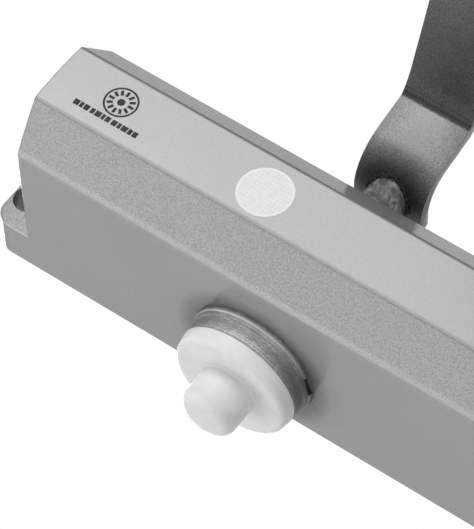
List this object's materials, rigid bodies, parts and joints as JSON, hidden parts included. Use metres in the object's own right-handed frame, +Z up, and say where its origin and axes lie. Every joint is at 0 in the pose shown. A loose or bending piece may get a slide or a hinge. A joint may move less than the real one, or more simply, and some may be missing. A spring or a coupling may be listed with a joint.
{
  "type": "door closer",
  "caption": "Surface-mounted rack-and-pinion door closer: bevelled body with end lugs, capped pinion shaft, joggled main arm and length-adjustable forearm with frame shoe.",
  "frame": {"origin": "centre of the four screw holes, on the flat face that lies on the door", "axes": "+X along the body towards the spring side, +Y into the door, +Z up the pinion shaft towards the arm"},
  "size_m": [0.2632, 0.2176, 0.1374],
  "materials": {
    "body_paint": "silver-grey paint with a fine grain over a die-cast body",
    "arm_paint": "darker silver-grey paint with a fine grain on steel",
    "turned_steel": "bare steel with fine turning marks",
    "plated_steel": "bright zinc plate",
    "ground_steel": "hardened and ground, oiled",
    "spring_steel": "oil-tempered wire",
    "piston_iron": "machined and oiled",
    "bush_bronze": "sintered bronze",
    "black_rubber": "matt black",
    "white_plastic": "milky, slightly clear",
    "label_film": "white film with a faint woven grid",
    "weld_scale": "rough burnt weld"
  },
  "bodies": {
    "closer_body": {"body_casting": "body_paint", "right_end_plug": "turned_steel", "left_end_plug": "turned_steel", "right_plug_ring": "black_rubber", "left_plug_ring": "black_rubber", "upper_pinion_nut": "turned_steel", "lower_pinion_nut": "turned_steel", "upper_nut_ring": "black_rubber", "lower_nut_ring": "black_rubber", "upper_shaft_bush": "bush_bronze", "lower_shaft_bush": "bush_bronze", "upper_shaft_seal": "black_rubber", "lower_shaft_seal": "black_rubber", "pinion_cap": "white_plastic", "round_label": "label_film", "spring_seat": "turned_steel", "outer_main_spring": "spring_steel", "inner_main_spring": "spring_steel"},
    "rack_piston": {"piston": "piston_iron", "check_ball_ring": "spring_steel"},
    "valve_ball": {"check_ball": "ground_steel"},
    "closing_valve": {"closing_valve_screw": "plated_steel", "closing_valve_ring": "black_rubber"},
    "latching_valve": {"latching_valve_screw": "plated_steel", "latching_valve_ring": "black_rubber"},
    "spindle": {"pinion_shaft": "ground_steel", "upper_thrust_washer": "ground_steel", "lower_thrust_washer": "ground_steel", "main_arm": "arm_paint", "arm_hub": "turned_steel", "arm_weld": "weld_scale", "arm_washer": "plated_steel", "arm_screw": "plated_steel", "elbow_pin": "plated_steel", "elbow_washer": "white_plastic"},
    "forearm": {"forearm_sleeve": "arm_paint", "clamp_screws": "plated_steel"},
    "length_rod": {"forearm_rod": "plated_steel"},
    "shoe": {"frame_shoe": "arm_paint", "shoe_pin": "plated_steel"}
  },
  "joints": [
    {"name": "spindle_turn", "type": "hinge", "parent": "closer_body", "child": "spindle", "pos_m": [-0.007, -0.0176, 0], "axis": [0, 0, 1], "range_deg": [0, 180], "stiffness_Nm_per_rad": 4, "springref_deg": -34.38},
    {"name": "piston_travel", "type": "slide", "parent": "closer_body", "child": "rack_piston", "axis": [1, 0, 0], "range_m": [0, 0.0236], "deforming": ["outer_main_spring", "inner_main_spring"]},
    {"name": "check_ball_lift", "type": "slide", "parent": "rack_piston", "child": "valve_ball", "axis": [-1, 0, 0], "range_m": [0, 0.0008]},
    {"name": "closing_valve_turn", "type": "hinge", "parent": "closer_body", "child": "closing_valve", "pos_m": [-0.075, -0.04845, 0.007], "axis": [1, 0, 0], "range_deg": [-360, 360]},
    {"name": "latching_valve_turn", "type": "hinge", "parent": "closer_body", "child": "latching_valve", "pos_m": [-0.075, -0.04845, -0.007], "axis": [1, 0, 0], "range_deg": [-360, 360]},
    {"name": "elbow_turn", "type": "hinge", "parent": "spindle", "child": "forearm", "pos_m": [-0.007, -0.2076, 0.0865], "axis": [0, 0, 1], "continuous": true},
    {"name": "forearm_length", "type": "slide", "parent": "forearm", "child": "length_rod", "axis": [0.634, 0.7733, 0], "range_m": [-0.02, 0.04]},
    {"name": "shoe_turn", "type": "hinge", "parent": "length_rod", "child": "shoe", "pos_m": [0.14516, -0.022, 0.0865], "axis": [0, 0, 1], "range_deg": [-120, 45]}
  ],
  "couplings": [
    {"joint": "piston_travel", "follows": "spindle_turn", "m_per_rad": 0.0075}
  ]
}
